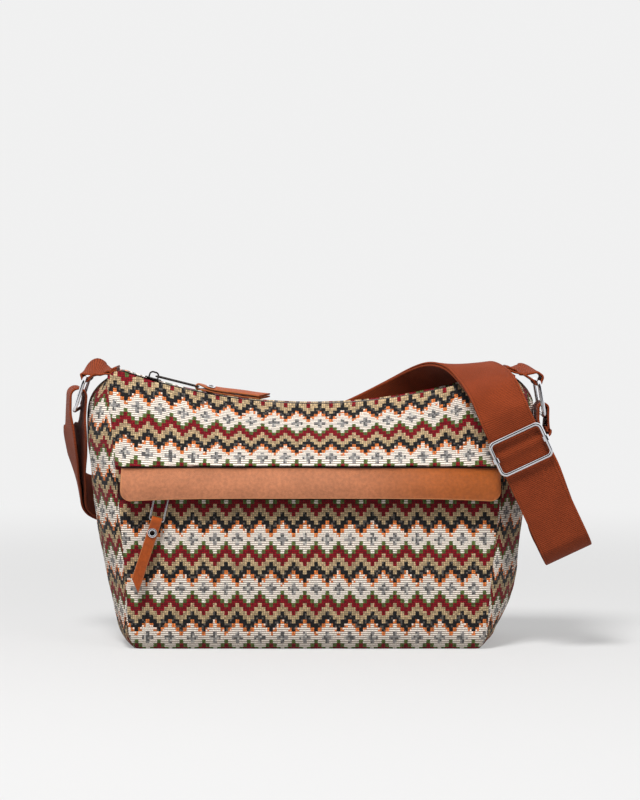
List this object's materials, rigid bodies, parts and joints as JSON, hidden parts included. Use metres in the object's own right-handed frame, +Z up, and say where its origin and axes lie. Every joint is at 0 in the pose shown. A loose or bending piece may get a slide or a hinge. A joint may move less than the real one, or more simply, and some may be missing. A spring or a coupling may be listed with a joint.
{
  "type": "crossbody bag",
  "caption": "Boxy woven crossbody bag with a curved zipped top, a zipped front pocket under a leather flap, and a webbing strap with a metal slider.",
  "frame": {"origin": "the middle of the base panel's underside, on the surface that the bag stands on", "axes": "+X along the bag to the viewer's right, -Y out of its front with the leather flap, +Z up"},
  "size_m": [0.3814, 0.1376, 0.2072],
  "materials": {
    "woven_cloth": "heavy woven cloth with stepped zigzags and diamonds",
    "lining_cloth": "plain lining",
    "tan_leather": "smooth tan leather",
    "rust_webbing": "ribbed webbing",
    "zip_tape": "dark zip tape",
    "zip_metal": "dark polished metal",
    "polished_metal": "polished"
  },
  "bodies": {
    "root": {"front_upper_panel": "woven_cloth", "front_pocket_panel": "woven_cloth", "pocket_lining": "lining_cloth", "back_panel": "woven_cloth", "side_gusset_left": "woven_cloth", "side_gusset_right": "woven_cloth", "base_panel": "woven_cloth", "main_zip_tape_front": "zip_tape", "main_zip_tape_back": "zip_tape", "main_zip_chain": "zip_metal", "zip_stop_left": "zip_metal", "zip_stop_right": "zip_metal", "pocket_zip_tape": "zip_tape", "pocket_zip_chain": "zip_metal", "leather_flap": "tan_leather", "tab_left": "rust_webbing", "tab_right": "rust_webbing", "shoulder_strap": "rust_webbing"},
    "main_slider": {"main_slider": "zip_metal"},
    "main_pull": {"main_pull_wire": "polished_metal", "main_pull_leather": "tan_leather", "main_pull_snap": "polished_metal"},
    "pocket_slider": {"pocket_slider": "zip_metal"},
    "pocket_pull": {"pocket_pull_wire": "polished_metal", "pocket_pull_leather": "tan_leather", "pocket_pull_snap": "polished_metal"},
    "ring_left": {"ring_left": "polished_metal"},
    "ring_right": {"ring_right": "polished_metal"},
    "strap_slider": {"strap_slider_frame": "polished_metal", "strap_slider_bar": "polished_metal", "strap_end_loop": "rust_webbing"}
  },
  "joints": [
    {"name": "main_zip_travel", "type": "hinge", "parent": "root", "child": "main_slider", "pos_m": [0.0035, 0, 0.5825], "axis": [0, -1, 0], "range_deg": [0, 13.5]},
    {"name": "main_pull_swing", "type": "hinge", "parent": "main_slider", "child": "main_pull", "pos_m": [-0.11056, 0, 0.19317], "axis": [0, -1, 0], "range_deg": [0, 150]},
    {"name": "pocket_zip_travel", "type": "slide", "parent": "root", "child": "pocket_slider", "axis": [1, 0, 0], "range_m": [0, 0.212]},
    {"name": "pocket_pull_swing", "type": "hinge", "parent": "pocket_slider", "child": "pocket_pull", "pos_m": [-0.1035, -0.04874, 0.1112], "axis": [-1, 0, 0], "range_deg": [0, 38]},
    {"name": "ring_left_swing", "type": "hinge", "parent": "root", "child": "ring_left", "pos_m": [-0.16093, 0, 0.19245], "axis": [0, 1, 0], "range_deg": [0, 8]},
    {"name": "ring_right_swing", "type": "hinge", "parent": "root", "child": "ring_right", "pos_m": [0.16649, 0, 0.18995], "axis": [0, 1, 0], "range_deg": [0, 3]},
    {"name": "strap_slider_travel", "type": "slide", "parent": "root", "child": "strap_slider", "axis": [0.425, 0, -0.9052], "range_m": [0, 0.042]}
  ]
}
